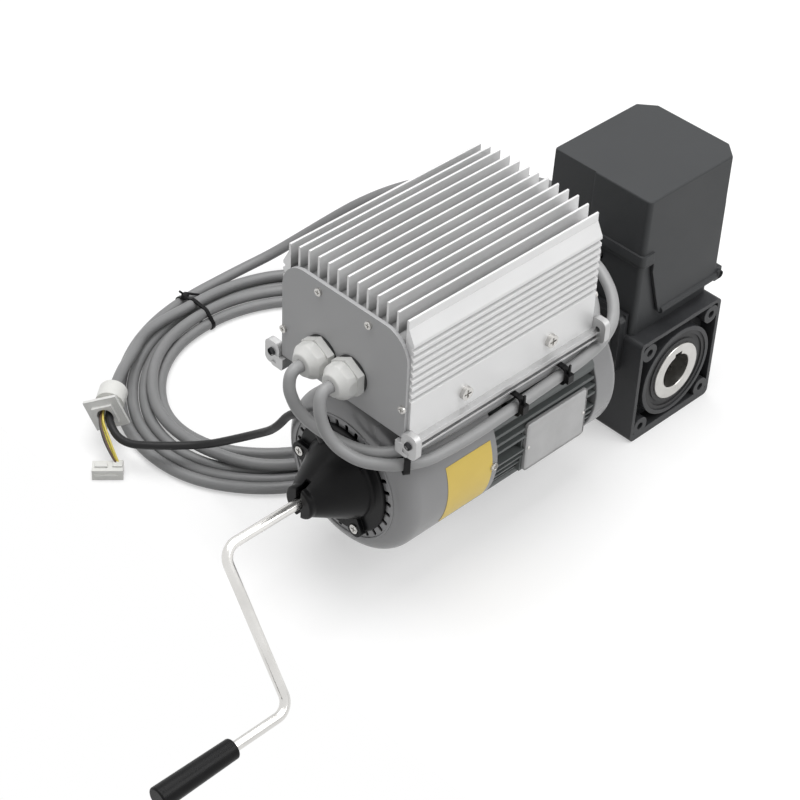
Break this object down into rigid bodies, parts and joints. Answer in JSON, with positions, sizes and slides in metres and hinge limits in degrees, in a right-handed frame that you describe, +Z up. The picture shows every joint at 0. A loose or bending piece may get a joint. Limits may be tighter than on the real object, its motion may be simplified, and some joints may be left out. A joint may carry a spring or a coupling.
{
  "type": "high-speed door drive",
  "caption": "Hollow-shaft worm gearmotor for a high-speed door, with a finned inverter on top, a limit-switch box, a plug-in hand crank and a coiled supply cable.",
  "frame": {"origin": "middle of the hollow output shaft, on its axis", "axes": "+Y along the hollow shaft towards the side cover, +X along the motor from the crank end to the gearbox, +Z up to the inverter"},
  "size_m": [0.609, 0.4104, 0.2929],
  "materials": {
    "gear_black": "satin black paint on cast aluminium",
    "cover_black": "fine-grained moulded plastic",
    "steel": "machined steel",
    "fastener": "zinc-plated steel",
    "seal_rubber": "black rubber",
    "bronze": "bronze",
    "gear_plastic": "white gear plastic",
    "motor_grey": "satin grey paint",
    "stator_grey": "dark slate paint on cast aluminium",
    "cast_alu": "cast aluminium",
    "sink_alu": "satin anodised extrusion",
    "plate_grey": "grey paint on sheet",
    "gland_grey": "light grey polyamide",
    "lead_grey": "grey cable sheath",
    "black_plastic": "black plastic",
    "crank_chrome": "bright plated bar",
    "lamination": "electrical sheet",
    "copper": "enamelled copper",
    "board_green": "circuit board",
    "plug_white": "white plug plastic"
  },
  "bodies": {
    "housing": {"gear_housing": "gear_black", "gear_side_cover": "gear_black", "side_cover_screws": "fastener", "output_bearings": "steel", "shaft_seals": "seal_rubber", "idler_pin": "steel", "encoder_unit": "black_plastic", "limit_switch_base": "cover_black", "limit_switch_cover": "cover_black", "terminal_board": "board_green", "supply_gland": "black_plastic", "motor_flange": "motor_grey", "flange_bolts": "fastener", "motor_housing": "stator_grey", "tie_bolts": "fastener", "stator_core": "lamination", "windings": "copper", "worm_bearing": "steel", "worm_end_cap": "seal_rubber", "drive_end_bearing": "steel", "rear_bearing": "steel", "rear_end_shield": "cast_alu", "fan_cowl": "motor_grey", "crank_funnel": "black_plastic", "funnel_screws": "fastener", "inverter_saddle": "cast_alu", "inverter_tray": "steel", "heat_sink": "sink_alu", "front_plate": "plate_grey", "rear_plate": "plate_grey", "plate_screws": "fastener", "flange_screws": "fastener", "base_rails": "cast_alu", "gland_washers": "seal_rubber", "gland_bodies": "gland_grey", "gland_caps": "gland_grey", "power_board": "board_green", "motor_lead": "lead_grey", "encoder_lead": "lead_grey", "lead_ties": "black_plastic", "supply_cable": "lead_grey", "cable_coil": "lead_grey", "coil_tie": "black_plastic", "cable_tail": "lead_grey", "plug_gland": "plug_white", "plug_plate": "gland_grey", "plug_wires": "plug_white", "plug_connector": "plug_white", "switch_cable": "seal_rubber"},
    "output": {"output_shaft": "steel", "worm_wheel": "bronze", "limit_drive_gear": "gear_plastic"},
    "rotor": {"motor_shaft": "steel", "rotor_core": "lamination", "cooling_fan": "black_plastic", "crank_socket": "steel"},
    "idler": {"idler_gear": "gear_plastic"},
    "encoder": {"encoder_gear": "gear_plastic"},
    "crank": {"crank_rod": "crank_chrome"},
    "grip": {"crank_grip": "black_plastic"}
  },
  "joints": [
    {"name": "motor_spin", "type": "hinge", "parent": "housing", "child": "rotor", "pos_m": [-0.16, 0, 0.04], "axis": [1, 0, 0], "continuous": true},
    {"name": "output_spin", "type": "hinge", "parent": "housing", "child": "output", "pos_m": [0, 0, 0], "axis": [0, 1, 0], "continuous": true},
    {"name": "idler_spin", "type": "hinge", "parent": "housing", "child": "idler", "pos_m": [0, 0.017, 0.045], "axis": [0, 1, 0], "continuous": true},
    {"name": "encoder_spin", "type": "hinge", "parent": "housing", "child": "encoder", "pos_m": [0, 0.017, 0.069], "axis": [0, 1, 0], "continuous": true},
    {"name": "crank_pull", "type": "slide", "parent": "rotor", "child": "crank", "axis": [-1, 0, 0], "range_m": [0, 0.035]},
    {"name": "grip_spin", "type": "hinge", "parent": "crank", "child": "grip", "pos_m": [-0.515, -0.07046, -0.06446], "axis": [1, 0, 0], "continuous": true}
  ],
  "couplings": [
    {"joint": "output_spin", "follows": "motor_spin", "ratio": -0.057143},
    {"joint": "idler_spin", "follows": "motor_spin", "ratio": 0.15714},
    {"joint": "encoder_spin", "follows": "motor_spin", "ratio": -0.15714}
  ]
}
